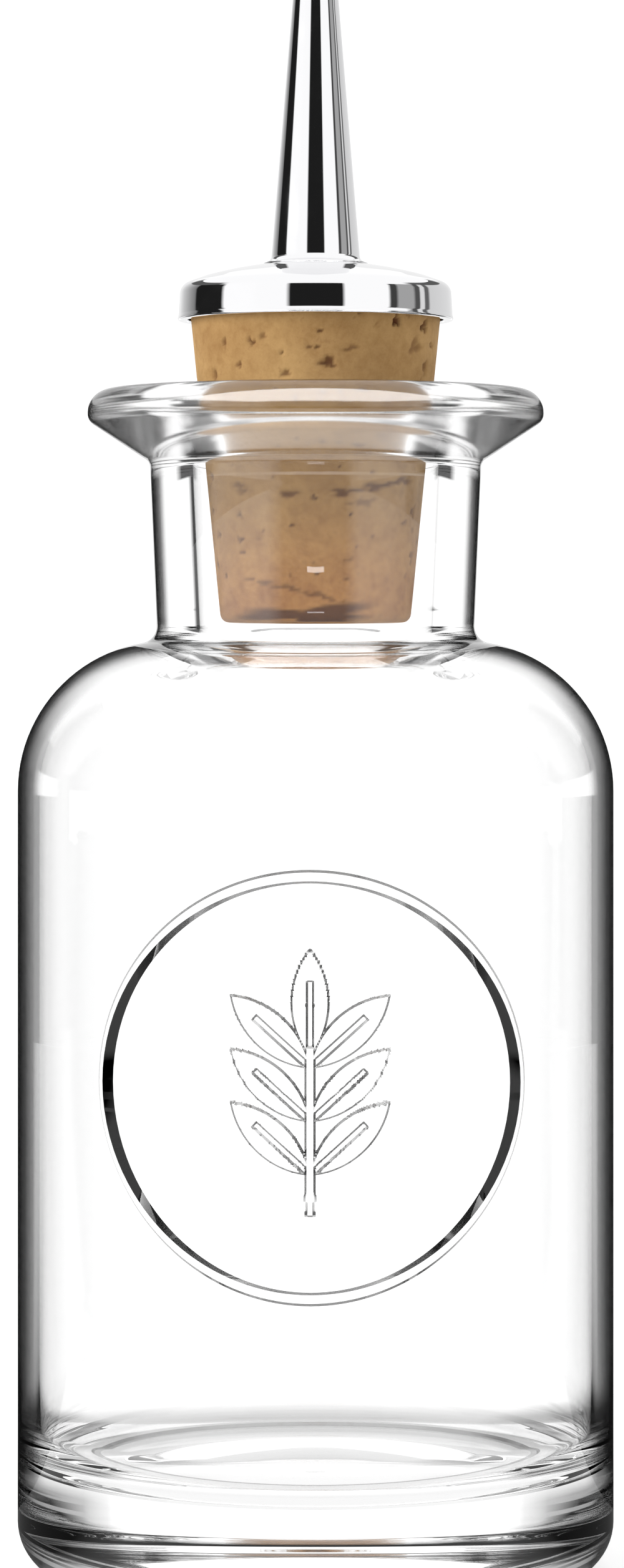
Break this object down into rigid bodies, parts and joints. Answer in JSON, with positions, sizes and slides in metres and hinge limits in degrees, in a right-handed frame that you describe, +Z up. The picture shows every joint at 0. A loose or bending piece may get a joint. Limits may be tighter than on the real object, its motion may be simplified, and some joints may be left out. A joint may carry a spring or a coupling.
{
  "type": "bitters bottle",
  "caption": "Round clear glass bottle with a flared lip and a raised front ring, closed by a tapered cork with a bright metal cap and tapered dasher spout.",
  "frame": {"origin": "centre of the bottle's foot, on the surface it stands on", "axes": "+Z up along the bottle's axis towards the spout's tip, -Y towards the front with the raised ring"},
  "size_m": [0.056, 0.0568, 0.154],
  "materials": {
    "clear_glass": "clear moulded glass, polished",
    "natural_cork": "natural cork with dark pores, matt",
    "bright_plate": "bright plated metal, mirror polished"
  },
  "bodies": {
    "bottle": {"glass_bottle": "clear_glass"},
    "stopper": {"cork_stopper": "natural_cork", "cap_disc": "bright_plate", "spout_tube": "bright_plate", "stem_ferrule": "bright_plate"}
  },
  "joints": [
    {"name": "stopper_lift", "type": "slide", "parent": "bottle", "child": "stopper", "axis": [0, 0, 1], "range_m": [0, 0.06]}
  ]
}
